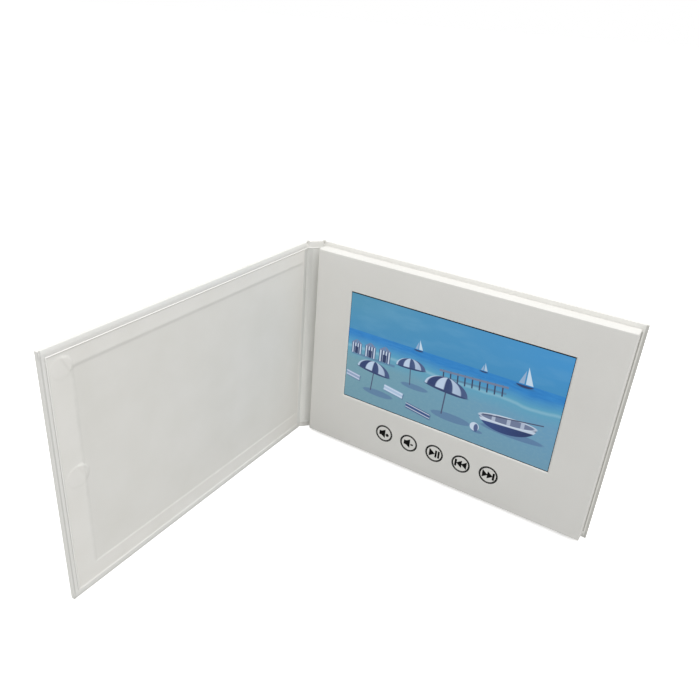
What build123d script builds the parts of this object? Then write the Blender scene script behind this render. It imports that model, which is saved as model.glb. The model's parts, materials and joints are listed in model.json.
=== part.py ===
from build123d import *
from math import pi, radians, tan
import os

# A landscape hardcover video brochure, standing open on its lower edges.
# Millimetres. X runs along the back cover, from the hinge to the fore-edge. Y runs from the screen
# through to the outside of the back cover. Z is up.
# The origin is the middle of the back cover's lower edge, at half the cover's thickness.

# ---- case: boards, papers and how they lap ----
board_thickness = 2.0
wrap_thickness = 0.2
lining_thickness = 0.2
turn_in_head = 13.5
turn_in_tail = 15.0
turn_in_fore = 16.5
spine_paper_overlap = 3.0
lining_inset_head = 4.2
lining_inset_tail = 3.0
lining_inset_fore = 2.3
step_slope = 1.2
edge_round = 0.4
edge_margin = 3.0

# ---- hinges ----
back_fold = 49.0
front_fold = 41.0
fold_clearance = 0.4
closing_clearance = 0.5
spine_clearance = 0.8

# ---- display block: the face, its window and what the block holds in depth ----
card_thickness = 0.5
window_width = 153.0
window_height = 83.0
face_above = 23.6
face_below = 41.4
side_zone = 22.5
screen_tape_thickness = 0.1
screen_tape_width = 4.0
screen_depth = 3.4
battery_clearance = 0.2
battery_thickness = 4.3
battery_tape_thickness = 0.2
layer_fit = 0.1
face_round = 0.5

# ---- screen module ----
tray_lap_side = 6.0
tray_lap_end = 8.5
tray_sheet = 0.3
glass_thickness = 1.5
glass_fit = 0.1
flex_width = 16.0
flex_thickness = 0.2
flex_lap = 6.0

# ---- keys ----
key_names = ["volume_up", "volume_down", "play_pause", "previous", "next"]
key_pitch = 20.0
key_radius = 6.1
key_slit = 0.08
key_gap = 4.6
key_travel = 0.25
plunger_radius = 1.75
plunger_fit = 0.05
plunger_reach = 0.8
plunger_depth = 0.9
plunger_float = 0.2
switch_side = 6.0
key_board_height = 12.0
key_ribbon_width = 8.0

# ---- boards, leads and sockets ----
circuit_thickness = 1.0
lead_room = 0.8
lead_diameter = 0.7
lead_spacing = 1.2
lead_lap = 2.0
channel_play = 0.3
ribbon_thickness = 0.4
board_clearance = 0.5
board_gap = 2.0
pocket_play = 0.5
usb_width = 7.5
usb_length = 5.6
usb_height = 2.6
usb_wall = 0.25
usb_chamfer = 0.6
usb_mouth_inset = 0.1
usb_port_clearance = 0.3
tongue_width = 4.0
tongue_thickness = 0.6
tongue_length = 3.4
zif_height = 4.0
zif_depth = 1.2

# ---- components of the main board, stacked upwards from the charging socket ----
chips_above_usb = 4.0
component_gap = 1.6
column_edge = 3.2
processor_side = 9.0
processor_height = 0.9
flash_width = 6.0
flash_length = 5.0
flash_height = 0.8
amplifier_width = 5.0
amplifier_length = 4.0
amplifier_height = 1.4
crystal_length = 8.0
crystal_width = 3.4
crystal_height = 2.2
crystal_round = 1.2
inductor_side = 5.0
inductor_height = 2.2
inductor_chamfer = 1.0
capacitor_length = 3.2
capacitor_width = 1.8
capacitor_height = 1.6
capacitor_count = 3

# ---- battery, speaker and magnets ----
battery_width = 90.0
battery_height = 50.0
battery_round = 1.0
protection_width = 4.0
protection_inset = 2.0
speaker_width = 20.0
speaker_height = 40.0
speaker_depth = 4.4
speaker_rim = 1.2
speaker_magnet_radius = 7.0
speaker_magnet_depth = 1.8
voice_coil_radius = 3.5
cone_thickness = 0.4
tab_width = 2.0
tab_height = 5.0
magnet_thickness = 1.5
closure_magnet_radius = 6.0
sensor_magnet_radius = 5.25
closure_magnet_edge = 9.6
sensor_magnet_edge = 8.1
sensor_magnet_drop = 10.0
magnet_bulge = 0.15
bulge_skirt = 0.6
sensor_board_height = 8.0
sensor_side = 3.0
sensor_height = 1.0
sensor_ribbon_width = 2.4
sensor_ribbon_offset = 3.0

# ---- levels behind the block's face ----
card_back = card_thickness
screen_front = card_back + screen_tape_thickness
screen_back = screen_front + screen_depth
battery_front = screen_back + battery_clearance
battery_back = battery_front + battery_thickness
base_front = battery_back + battery_tape_thickness
block_depth = base_front + card_thickness
board_front = screen_back + lead_room
board_back = board_front + circuit_thickness
switch_front = card_back + plunger_reach
channel_floor = board_front + layer_fit

# ---- sizes worked out from the values above ----
tray_width = window_width + 2 * tray_lap_side
tray_height = window_height + 2 * tray_lap_end
block_width = tray_width + 2 * side_zone
block_height = face_below + window_height + face_above
case_height = block_height + 2 * edge_margin
skin_depth = board_thickness + 2 * wrap_thickness
panel_thickness = skin_depth + lining_thickness

# The paper bends between the covers as an arc. Its length is a quarter circle of fold_radius, the
# smallest that keeps the covers' inner edges apart when the case is shut.
strip_thickness = wrap_thickness + lining_thickness
fold_radius = panel_thickness - strip_thickness / 2 + fold_clearance
hinge_gap = fold_radius * pi / 2
hinge_depth = strip_thickness / 2 + fold_radius - hinge_gap / 2
hinge_to_inner = panel_thickness - hinge_depth
hinge_pitch = block_depth + closing_clearance + 2 * hinge_to_inner
spine_width = hinge_pitch - hinge_gap
cover_reach = hinge_to_inner + spine_clearance + block_width + edge_margin
cover_width = cover_reach - hinge_gap / 2

# ---- places, in the part's frame ----
outer_y = panel_thickness / 2
face_y = -outer_y - block_depth
cover_left = -cover_width / 2
back_axis_x = cover_left - hinge_gap / 2
axis_y = outer_y - hinge_depth
block_left = back_axis_x + hinge_to_inner + spine_clearance
block_right = block_left + block_width
block_bottom = edge_margin
block_top = block_bottom + block_height
block_x = (block_left + block_right) / 2
block_z = (block_bottom + block_top) / 2
inner_left = block_left + card_thickness
inner_right = block_right - card_thickness
inner_bottom = block_bottom + card_thickness
inner_top = block_top - card_thickness

window_z = block_bottom + face_below + window_height / 2
tray_right = block_x + tray_width / 2
tray_left = block_x - tray_width / 2
tray_bottom = window_z - tray_height / 2

key_z = tray_bottom - key_gap - key_radius
key_x = [block_x + (i - (len(key_names) - 1) / 2) * key_pitch for i in range(len(key_names))]
key_board_width = key_x[-1] - key_x[0] + key_board_height

closure_magnet_x = block_right - closure_magnet_edge
sensor_magnet_x = block_right - sensor_magnet_edge
sensor_magnet_z = block_top - sensor_magnet_drop
magnet_sites = [
    (sensor_magnet_edge, sensor_magnet_z, sensor_magnet_radius),
    (closure_magnet_edge, block_z, closure_magnet_radius),
]

main_left = tray_right + 2 * board_clearance
main_right = inner_right - board_clearance
main_x = (main_left + main_right) / 2
main_bottom = inner_bottom + board_clearance
main_top = block_z - closure_magnet_radius - board_gap
usb_top = block_bottom + usb_mouth_inset + usb_length
chip_z = usb_top + chips_above_usb + flash_length / 2
processor_z = chip_z + (flash_length + processor_side) / 2 + component_gap
crystal_z = processor_z + (processor_side + crystal_width) / 2 + component_gap
inductor_z = crystal_z + (crystal_width + inductor_side) / 2 + component_gap
capacitor_z = inductor_z + (inductor_side + capacitor_width) / 2 + component_gap
capacitor_pitch = capacitor_width + component_gap
column_x = main_right - column_edge - inductor_side / 2

speaker_lead_z = tray_bottom - board_gap
flex_z = speaker_lead_z + board_gap + lead_spacing + flex_width / 2
battery_bottom = flex_z + flex_width / 2 + board_gap
battery_z = battery_bottom + battery_height / 2
battery_right = block_x + battery_width / 2
battery_lead_z = battery_bottom + protection_inset + lead_spacing
speaker_x = (inner_left + tray_left) / 2
speaker_z = speaker_lead_z + speaker_height / 2 - tab_height
sensor_ribbon_x = tray_right + sensor_ribbon_offset

# ---- frames of the moving covers, from the back cover's hinge outwards ----
spine_frame = Pos(back_axis_x, axis_y, 0) * Rot(0, 0, back_fold)
front_frame = spine_frame * Pos(-hinge_pitch, 0, 0) * Rot(0, 0, front_fold)


def cuboid(x, y, z):
    """A box between a low and a high value on each axis."""
    corner = Pos(x[0], y[0], z[0])
    return corner * Box(x[1] - x[0], y[1] - y[0], z[1] - z[0], align=(Align.MIN, Align.MIN, Align.MIN))


def plate(x, z, width, height, front, back):
    """A flat piece centred at x, z, between two levels behind the block's face."""
    return Pos(x, face_y + (front + back) / 2, z) * Box(width, back - front, height)


def disc(x, z, radius, front, back):
    """A round piece about an axis along Y, between two levels behind the block's face."""
    return Pos(x, face_y + (front + back) / 2, z) * Rot(90, 0, 0) * Cylinder(radius, back - front)


def rounded_core(x_low, x_high, y_low, y_high, inset, radius, fore_edge):
    """A board-shaped box whose edges are rounded, except on the sides that face a hinge."""
    core = cuboid((x_low, x_high), (y_low, y_high), (inset, case_height - inset))
    along_x = core.edges().filter_by(Axis.X)
    at_fore_edge = core.faces().sort_by(Axis.X)[-1].edges()
    edges = along_x + at_fore_edge if fore_edge else along_x
    return fillet(edges, radius)


def panel_board(width, fore_edge=True):
    """Greyboard of one panel. The hinge side is at x = 0 and the outer face at y = 0."""
    far_skin = wrap_thickness if fore_edge else lining_thickness
    return rounded_core(lining_thickness, width - far_skin, -wrap_thickness - board_thickness,
                        -wrap_thickness, wrap_thickness, edge_round - wrap_thickness, fore_edge)


def turn_in_opening(width, y, fore_edge):
    """The area inside the turned-in edges of the wrap, between two depths."""
    right = width - turn_in_fore if fore_edge else width
    return cuboid((0, right), y, (turn_in_tail, case_height - turn_in_head))


def panel_wrap(width, fore_edge=True):
    """Printed paper round the outside of one panel, turned in over its head, tail and fore-edge."""
    outside = rounded_core(0, width, -skin_depth, 0, 0, edge_round, fore_edge)
    far_skin = wrap_thickness if fore_edge else 0
    room = rounded_core(0, width - far_skin, -wrap_thickness - board_thickness, -wrap_thickness,
                        wrap_thickness, edge_round - wrap_thickness, fore_edge)
    opening = turn_in_opening(width, (-skin_depth, -wrap_thickness - board_thickness), fore_edge)
    return outside - room - opening


def panel_lining(width, fore_edge=True):
    """Paper inside one panel. It sinks by the wrap's thickness inside the turned-in edges."""
    fore_inset = lining_inset_fore if fore_edge else 0
    tail = lining_inset_tail
    head = case_height - lining_inset_head
    board_face = -wrap_thickness - board_thickness
    sheet = cuboid((0, width - fore_inset), (-panel_thickness, -skin_depth), (tail, head))
    bed = turn_in_opening(width, (-skin_depth, board_face), fore_edge)
    flange = cuboid((0, lining_thickness), (board_face, -wrap_thickness), (tail, head))
    lining = sheet + bed + flange
    if not fore_edge:
        lining += cuboid((width - lining_thickness, width), (board_face, -wrap_thickness), (tail, head))
        return lining
    return lining - lining_dip(width)


def lining_dip(width):
    """The sunken field of the lining, with sloping sides."""
    left = spine_paper_overlap
    right = width - turn_in_fore
    top = case_height - turn_in_head
    middle = Pos((left + right) / 2, -panel_thickness, (turn_in_tail + top) / 2)
    mouth = middle * Rot(-90, 0, 0) * Rectangle(right - left, top - turn_in_tail)
    floor = middle * Pos(0, lining_thickness, 0) * Rot(-90, 0, 0)
    floor *= Rectangle(right - left - 2 * step_slope, top - turn_in_tail - 2 * step_slope)
    return loft([mouth.face(), floor.face()], ruled=True)


def hinge_strip(fold):
    """Bent paper of one hinge. The hinge axis is at x = y = 0 and the still panel lies towards +X."""
    offset = hinge_depth - strip_thickness / 2
    half_turn = tan(radians(fold / 2))
    radius = (hinge_gap / 2 + offset * half_turn) / half_turn
    centre = (hinge_gap / 2, offset - radius)
    outside = CenterArc(centre, radius + strip_thickness / 2, 90, fold)
    inside = CenterArc(centre, radius - strip_thickness / 2, 90, fold)
    near_end = Line(inside @ 0, outside @ 0)
    far_end = Line(inside @ 1, outside @ 1)
    return extrude(make_face([outside, inside, near_end, far_end]), case_height)


def on_back(piece):
    return Pos(cover_left, outer_y, 0) * piece


def on_spine(piece):
    return spine_frame * Pos(-hinge_gap / 2 - spine_width, hinge_depth, 0) * piece


def on_front(piece):
    return front_frame * Pos(-hinge_gap / 2, hinge_depth, 0) * mirror(piece, about=Plane.YZ)


def at_magnet_site(edge, z, depth):
    """Middle of a disc in the front cover, at its distance from the block's fore-edge."""
    return Pos(cover_width - edge_margin - edge, depth, z) * Rot(90, 0, 0)


def cover_magnets(play):
    """Upper and middle magnet of the front cover, in the inner face of its board, grown by a play."""
    depth = -wrap_thickness - board_thickness + magnet_thickness / 2
    return [at_magnet_site(edge, z, depth) * Cylinder(radius + play, magnet_thickness)
            for edge, z, radius in magnet_sites]


def magnet_bulges():
    """The lining lifts a little over each magnet."""
    height = lining_thickness + magnet_bulge
    return [at_magnet_site(edge, z, -skin_depth - height / 2)
            * Cone(radius + bulge_skirt, radius - bulge_skirt, height)
            for edge, z, radius in magnet_sites]


# ---- display block ----
def face_card():
    """Scored and folded card over the front and the four sides of the block."""
    outside = cuboid((block_left, block_right), (face_y, -outer_y), (block_bottom, block_top))
    front_edges = outside.faces().sort_by(Axis.Y)[0].edges()
    corner_edges = outside.edges().filter_by(Axis.Y)
    outside = fillet(front_edges + corner_edges, face_round)
    inside = cuboid((inner_left, inner_right), (face_y + card_back, -outer_y), (inner_bottom, inner_top))
    window = plate(block_x, window_z, window_width, window_height, 0, card_back)
    port = plate(main_x, block_bottom + card_thickness / 2, usb_width + 2 * usb_port_clearance,
                 card_thickness, board_front - usb_height - usb_port_clearance,
                 board_front + usb_port_clearance)
    card = outside - inside - window - port
    for x in key_x:
        card -= disc(x, key_z, key_radius + key_slit, 0, card_back)
    return card


def filler_sheet(front, back):
    """A sheet of filler board that fills the block's inside between two levels."""
    return plate(block_x, block_z, inner_right - inner_left - 2 * layer_fit,
                 inner_top - inner_bottom - 2 * layer_fit, front, back)


def key_pocket(front, back):
    width = key_board_width + 2 * pocket_play
    height = 2 * (key_radius + pocket_play)
    return plate(block_x, key_z, width, height, front, back)


def main_board_pocket(front, back):
    """Room for the main board, open to the block's lower and right walls."""
    low = main_left - pocket_play
    high = inner_right
    top = main_top + pocket_play
    return plate((low + high) / 2, (inner_bottom + top) / 2, high - low, top - inner_bottom, front, back)


def sensor_span():
    """Left and right ends of the lid sensor's board."""
    return sensor_ribbon_x - sensor_ribbon_width / 2 - board_clearance, sensor_magnet_x + sensor_side


def sensor_pocket(front, back):
    left, right = sensor_span()
    return plate((left + right) / 2, sensor_magnet_z, right - left + 2 * pocket_play,
                 sensor_board_height + 2 * pocket_play, front, back)


def speaker_outline(grow, front, back):
    """A stadium shape of the speaker's size, between two levels."""
    width = speaker_width + 2 * grow
    height = speaker_height + 2 * grow
    profile = SlotOverall(height, width, rotation=90)
    return Pos(speaker_x, face_y + back, speaker_z) * Rot(90, 0, 0) * extrude(profile, back - front)


def front_filler():
    """Filler board round the screen module, from the face card to the module's back."""
    front, back = card_back, screen_back
    sheet = filler_sheet(front, back)
    sheet -= plate(block_x, window_z, tray_width + 2 * layer_fit, tray_height + 2 * layer_fit, front, back)
    sheet -= key_pocket(front, back)
    sheet -= main_board_pocket(front, back)
    sheet -= sensor_pocket(front, back)
    sheet -= speaker_outline(layer_fit, front, back)
    sheet -= disc(closure_magnet_x, block_z, closure_magnet_radius + layer_fit,
                  front, front + magnet_thickness)
    return sheet


def rear_filler():
    """Filler board behind the screen, cut out for the battery, the boards and every lead."""
    front, back = screen_back, base_front
    sheet = filler_sheet(front, back)
    battery_play = 2 * pocket_play
    battery_span = battery_width + protection_width + battery_play
    sheet -= plate(block_x + protection_width / 2, battery_z, battery_span,
                   battery_height + battery_play, front, back)
    sheet -= key_pocket(front, board_back)
    sheet -= main_board_pocket(front, board_back)
    sheet -= sensor_pocket(front, board_back)
    sheet -= speaker_outline(layer_fit, front, back)
    sheet -= speaker_tab(pocket_play, front, board_back)
    channels = [
        (speaker_x, main_left, speaker_lead_z, lead_spacing + lead_diameter + 2 * channel_play),
        (battery_right, main_left, battery_lead_z, lead_spacing + lead_diameter + 2 * channel_play),
        (tray_right - flex_lap - channel_play, main_left, flex_z, flex_width + 2 * channel_play),
        (block_x, main_left, key_z, key_ribbon_width + 2 * channel_play),
    ]
    for left, right, z, height in channels:
        sheet -= plate((left + right) / 2, z, right - left, height, front, channel_floor)
    low, high = main_top, sensor_magnet_z
    sheet -= plate(sensor_ribbon_x, (low + high) / 2, sensor_ribbon_width + 2 * channel_play,
                   high - low, front, channel_floor)
    return sheet


def base_card():
    return plate(block_x, block_z, inner_right - inner_left - 2 * layer_fit,
                 inner_top - inner_bottom - 2 * layer_fit, base_front, block_depth)


def block_adhesive():
    """Double-sided sheet that bonds the base card to the sunken field of the back lining."""
    left = cover_left + spine_paper_overlap + step_slope
    right = cover_left + cover_width - turn_in_fore - step_slope
    low = turn_in_tail + step_slope
    high = case_height - turn_in_head - step_slope
    return cuboid((left, right), (-outer_y, -outer_y + lining_thickness), (low, high))


# ---- screen module ----
def screen_tape():
    """Thin adhesive frame between the screen module and the face card."""
    outer = plate(block_x, window_z, window_width + 2 * screen_tape_width,
                  window_height + 2 * screen_tape_width, card_back, screen_front)
    return outer - plate(block_x, window_z, window_width, window_height, card_back, screen_front)


def screen_tray():
    """Pressed steel tray of the screen module."""
    outer = plate(block_x, window_z, tray_width, tray_height, screen_front, screen_back)
    room = plate(block_x, window_z, tray_width - 2 * tray_sheet, tray_height - 2 * tray_sheet,
                 screen_front, screen_back - tray_sheet)
    return outer - room


def screen_layer(front, back):
    """A layer of the screen module, inside the tray's walls."""
    play = 2 * (tray_sheet + glass_fit)
    return plate(block_x, window_z, tray_width - play, tray_height - play, front, back)


def screen_glass():
    return screen_layer(screen_front, screen_front + glass_thickness)


def screen_backlight():
    return screen_layer(screen_front + glass_thickness, screen_back - tray_sheet)


def screen_flex():
    """Flat flexible circuit from the back of the screen's tray to its socket."""
    left = tray_right - flex_lap
    right = main_left + lead_lap
    return plate((left + right) / 2, flex_z, right - left, flex_width, screen_back,
                 screen_back + flex_thickness)


def screen_socket():
    """Slim socket on the main board that takes the screen's flexible circuit."""
    x = main_left + zif_height / 2
    length = flex_width + 2 * board_clearance
    body = plate(x, flex_z, zif_height, length, board_front - zif_depth, board_front)
    slot = plate(main_left + lead_lap / 2, flex_z, lead_lap, flex_width, screen_back,
                 screen_back + flex_thickness)
    return body - slot


# ---- keys ----
def key_cap(x):
    """The part of the face card that gives under a finger."""
    return disc(x, key_z, key_radius, 0, card_back)


def key_plunger(x):
    return disc(x, key_z, plunger_radius, card_back, switch_front + plunger_depth)


def key_switches():
    """Housings of the push switches, in a row on the key board."""
    bore_end = switch_front + plunger_depth + key_travel + plunger_float
    housings = []
    for x in key_x:
        housing = plate(x, key_z, switch_side, switch_side, switch_front, board_front)
        housings.append(housing - disc(x, key_z, plunger_radius + plunger_fit, switch_front, bore_end))
    return Compound(housings)


def key_board():
    return plate(block_x, key_z, key_board_width, key_board_height, board_front, board_back)


def key_ribbon():
    """Flat ribbon from the key board to the main board."""
    left = block_x + key_board_width / 2 - lead_lap
    right = main_left + lead_lap
    return plate((left + right) / 2, key_z, right - left, key_ribbon_width,
                 board_front - ribbon_thickness, board_front)


# ---- main board ----
def main_board():
    return plate(main_x, (main_bottom + main_top) / 2, main_right - main_left,
                 main_top - main_bottom, board_front, board_back)


def on_main_board(x, z, width, length, height):
    """A component that stands on the main board's front, centred at x, z."""
    return plate(x, z, width, length, board_front - height, board_front)


def processor():
    return on_main_board(main_x, processor_z, processor_side, processor_side, processor_height)


def flash_memory():
    x = main_x - (component_gap + flash_width) / 2
    return on_main_board(x, chip_z, flash_width, flash_length, flash_height)


def audio_amplifier():
    x = main_x + (component_gap + amplifier_width) / 2
    return on_main_board(x, chip_z, amplifier_width, amplifier_length, amplifier_height)


def quartz_crystal():
    can = on_main_board(main_x, crystal_z, crystal_length, crystal_width, crystal_height)
    return fillet(can.edges().filter_by(Axis.Y), crystal_round)


def power_inductor():
    coil = on_main_board(column_x, inductor_z, inductor_side, inductor_side, inductor_height)
    return chamfer(coil.edges().filter_by(Axis.Y), inductor_chamfer)


def board_capacitors():
    """Chip capacitors in a column beside the screen's socket."""
    return Compound([on_main_board(column_x, capacitor_z + i * capacitor_pitch, capacitor_length,
                                   capacitor_width, capacitor_height) for i in range(capacitor_count)])


def usb_shell():
    """Folded steel shell of the charging socket, open towards the block's lower edge."""
    middle = usb_top - usb_length / 2
    outer = plate(main_x, middle, usb_width, usb_length, board_front - usb_height, board_front)
    lower_sides = outer.edges().filter_by(Axis.Z).group_by(Axis.Y)[0]
    outer = chamfer(lower_sides, usb_chamfer)
    room = plate(main_x, middle, usb_width - 2 * usb_wall, usb_length,
                 board_front - usb_height + usb_wall, board_front - usb_wall)
    room = chamfer(room.edges().filter_by(Axis.Z).group_by(Axis.Y)[0], usb_chamfer)
    return outer - Pos(0, 0, -usb_wall) * room


def usb_tongue():
    """Contact blade in the charging socket, standing on the shell's back wall."""
    high = usb_top - usb_wall
    middle_depth = board_front - usb_height / 2
    return plate(main_x, high - tongue_length / 2, tongue_width, tongue_length,
                 middle_depth - tongue_thickness / 2, middle_depth + tongue_thickness / 2)


# ---- lid sensor and magnets of the block ----
def sensor_board():
    left, right = sensor_span()
    return plate((left + right) / 2, sensor_magnet_z, right - left, sensor_board_height,
                 board_front, board_back)


def lid_sensor():
    return plate(sensor_magnet_x, sensor_magnet_z, sensor_side, sensor_side,
                 board_front - sensor_height, board_front)


def sensor_ribbon():
    low = main_top - lead_lap
    high = sensor_magnet_z - sensor_board_height / 2 + lead_lap
    return plate(sensor_ribbon_x, (low + high) / 2, sensor_ribbon_width, high - low,
                 board_front - ribbon_thickness, board_front)


def block_magnet():
    return disc(closure_magnet_x, block_z, closure_magnet_radius, card_back, card_back + magnet_thickness)


# ---- battery and speaker ----
def battery_cell():
    cell = plate(block_x, battery_z, battery_width, battery_height, battery_front, battery_back)
    return fillet(cell.edges().filter_by(Axis.Z), battery_round)


def battery_circuit():
    """Protection circuit under tape, along the end of the cell."""
    return plate(battery_right + protection_width / 2, battery_z, protection_width,
                 battery_height - 2 * protection_inset, board_front, battery_back)


def battery_tape():
    inset = 2 * protection_inset
    return plate(block_x, battery_z, battery_width - inset, battery_height - inset, battery_back, base_front)


def lead(x_low, x_high, z):
    """One insulated lead lying along X on the plane of the boards."""
    depth = board_front - lead_diameter / 2
    middle = Pos((x_low + x_high) / 2, face_y + depth, z)
    return middle * Rot(0, 90, 0) * Cylinder(lead_diameter / 2, x_high - x_low)


def battery_lead(side):
    z = battery_lead_z + side * lead_spacing / 2
    return lead(battery_right + protection_width - lead_lap, main_left + lead_lap, z)


def speaker_leads():
    left = speaker_x + speaker_width / 2
    right = main_left + lead_lap
    return Compound([lead(left, right, speaker_lead_z + side * lead_spacing / 2) for side in (-1, 1)])


def speaker_tab(grow, front, back):
    """The speaker's terminal tab, straddling its right side, between two levels."""
    x = speaker_x + speaker_width / 2
    return plate(x, speaker_lead_z, 2 * (tab_width + grow), tab_height + 2 * grow, front, back)


def speaker_frame():
    """Oval basket of the speaker, with a terminal tab towards the main board."""
    front = base_front - speaker_depth
    basket = speaker_outline(0, front, base_front)
    basket -= speaker_outline(-speaker_rim, front, base_front - speaker_magnet_depth)
    basket -= disc(speaker_x, speaker_z, speaker_magnet_radius + layer_fit,
                   base_front - speaker_magnet_depth, base_front)
    tab = speaker_tab(0, board_front, board_back)
    return basket + (tab - speaker_outline(-speaker_rim, front, base_front))


def speaker_magnet():
    return disc(speaker_x, speaker_z, speaker_magnet_radius, base_front - speaker_magnet_depth, base_front)


def speaker_cone():
    """Oval membrane across the mouth of the speaker's basket."""
    front = base_front - speaker_depth + cone_thickness
    sheet = speaker_outline(-speaker_rim, front, front + cone_thickness)
    coil_top = front + cone_thickness
    return sheet + disc(speaker_x, speaker_z, voice_coil_radius, coil_top,
                        base_front - speaker_magnet_depth)


def all_nodes():
    """Every node of the part by name."""
    upper_magnet, middle_magnet = cover_magnets(0)
    upper_pocket, middle_pocket = cover_magnets(layer_fit)
    front_lining = panel_lining(cover_width)
    for bulge in magnet_bulges():
        front_lining += bulge
    nodes = {
        "back_board": on_back(panel_board(cover_width)),
        "back_wrap": on_back(panel_wrap(cover_width)),
        "back_lining": on_back(panel_lining(cover_width)),
        "spine_board": on_spine(panel_board(spine_width, fore_edge=False)),
        "spine_wrap": on_spine(panel_wrap(spine_width, fore_edge=False)),
        "spine_lining": on_spine(panel_lining(spine_width, fore_edge=False)),
        "front_board": on_front(panel_board(cover_width) - upper_pocket - middle_pocket),
        "front_wrap": on_front(panel_wrap(cover_width)),
        "front_lining": on_front(front_lining),
        "cover_magnet_upper": on_front(upper_magnet),
        "cover_magnet_middle": on_front(middle_magnet),
        "back_hinge_strip": Pos(back_axis_x, axis_y, 0) * hinge_strip(back_fold),
        "front_hinge_strip": spine_frame * Pos(-hinge_pitch, 0, 0) * hinge_strip(front_fold),
        "block_adhesive": block_adhesive(),
        "base_card": base_card(),
        "rear_filler": rear_filler(),
        "front_filler": front_filler(),
        "face_card": face_card(),
        "screen_tape": screen_tape(),
        "screen_tray": screen_tray(),
        "screen_glass": screen_glass(),
        "screen_backlight": screen_backlight(),
        "screen_flex": screen_flex(),
        "screen_socket": screen_socket(),
        "key_switches": key_switches(),
        "key_board": key_board(),
        "key_ribbon": key_ribbon(),
        "main_board": main_board(),
        "processor": processor(),
        "flash_memory": flash_memory(),
        "audio_amplifier": audio_amplifier(),
        "quartz_crystal": quartz_crystal(),
        "power_inductor": power_inductor(),
        "board_capacitors": board_capacitors(),
        "usb_shell": usb_shell(),
        "usb_tongue": usb_tongue(),
        "sensor_board": sensor_board(),
        "lid_sensor": lid_sensor(),
        "sensor_ribbon": sensor_ribbon(),
        "block_magnet": block_magnet(),
        "battery_cell": battery_cell(),
        "battery_circuit": battery_circuit(),
        "battery_tape": battery_tape(),
        "battery_lead_red": battery_lead(1),
        "battery_lead_black": battery_lead(-1),
        "speaker_frame": speaker_frame(),
        "speaker_magnet": speaker_magnet(),
        "speaker_cone": speaker_cone(),
        "speaker_leads": speaker_leads(),
    }
    for name, x in zip(key_names, key_x):
        nodes[name + "_key"] = key_cap(x)
        nodes[name + "_plunger"] = key_plunger(x)
    return nodes


os.makedirs("parts", exist_ok=True)
for node_name, shape in all_nodes().items():
    export_step(shape, f"parts/{node_name}.step")
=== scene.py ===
from collections import namedtuple
from functools import partial
import json
import math

import bmesh
import bpy
from mathutils import Matrix, Vector

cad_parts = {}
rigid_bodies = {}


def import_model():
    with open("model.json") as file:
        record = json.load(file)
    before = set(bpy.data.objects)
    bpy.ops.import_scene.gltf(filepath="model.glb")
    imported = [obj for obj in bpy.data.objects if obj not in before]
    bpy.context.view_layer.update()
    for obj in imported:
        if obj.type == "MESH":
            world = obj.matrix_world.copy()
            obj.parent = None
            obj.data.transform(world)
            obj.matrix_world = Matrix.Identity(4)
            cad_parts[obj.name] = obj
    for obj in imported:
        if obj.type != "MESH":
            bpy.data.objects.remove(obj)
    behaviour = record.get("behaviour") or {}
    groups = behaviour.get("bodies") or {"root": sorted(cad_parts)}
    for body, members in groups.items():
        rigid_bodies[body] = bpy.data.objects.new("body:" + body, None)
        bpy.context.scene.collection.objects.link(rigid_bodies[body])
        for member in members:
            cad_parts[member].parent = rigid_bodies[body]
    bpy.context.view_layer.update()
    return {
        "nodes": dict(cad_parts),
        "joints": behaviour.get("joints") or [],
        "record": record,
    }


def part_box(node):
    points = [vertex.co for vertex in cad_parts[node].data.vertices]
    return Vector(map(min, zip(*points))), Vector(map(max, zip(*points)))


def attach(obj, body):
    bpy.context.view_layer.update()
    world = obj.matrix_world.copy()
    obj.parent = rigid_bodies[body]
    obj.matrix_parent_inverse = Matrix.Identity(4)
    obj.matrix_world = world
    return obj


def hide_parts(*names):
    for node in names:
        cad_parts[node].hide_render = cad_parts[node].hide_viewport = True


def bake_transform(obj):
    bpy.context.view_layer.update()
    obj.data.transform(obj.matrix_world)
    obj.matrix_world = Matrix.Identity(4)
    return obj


# A landscape hardcover video brochure that stands open on its lower edges: a white laminated case,
# a white display block with five printed push keys, and a lit screen.
# Metres, +Z up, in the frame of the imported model. X runs along the display block, Y through it.
# Lengths written in the script are millimetres, and mm() turns them into metres.

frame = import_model()

MM = 0.001
# how far rounding may put a point from its line, in millimetres or as a share
CLOSE = 0.01

# ---- places taken from the frame ----
Place = namedtuple("Place", "x y z")
Crease = namedtuple("Crease", "axis still fold bodies")


def in_mm(place):
    """A place of the frame in millimetres, to a tenth of a micron."""
    return Place(*(round(value / MM, 4) for value in place))


def box(node):
    """A node's lowest and highest corners at rest."""
    return [in_mm(corner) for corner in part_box(node)]


def magnet(node):
    """A cover magnet's middle in Y and Z, and its radius."""
    low, high = box(node)
    return (low.y + high.y) / 2, (low.z + high.z) / 2, (high.y - low.y) / 2


def crease_of(hinge, still):
    """A hinge's crease: its upright axis, how its still side is turned, how far it is folded at rest,
    which is back to its lower limit, and its two bodies."""
    joint = next(joint for joint in frame["joints"] if joint["name"] == hinge)
    return Crease(in_mm(joint["pos_m"]), still, -joint["range_deg"][0], (joint["parent"], joint["child"]))


CARD_LOW, CARD_HIGH = box("face_card")
BACK_LOW, BACK_HIGH = box("back_wrap")
FRONT_LOW, FRONT_HIGH = box("front_wrap")
TAPE_LOW, TAPE_HIGH = box("screen_tape")
COVER_MAGNETS = [magnet("cover_magnet_middle"), magnet("cover_magnet_upper")]
BACK_CREASE = crease_of("back_hinge", 0.0)
FRONT_CREASE = crease_of("front_hinge", BACK_CREASE.fold)
CREASES = {"back_hinge": BACK_CREASE, "front_hinge": FRONT_CREASE}

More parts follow.
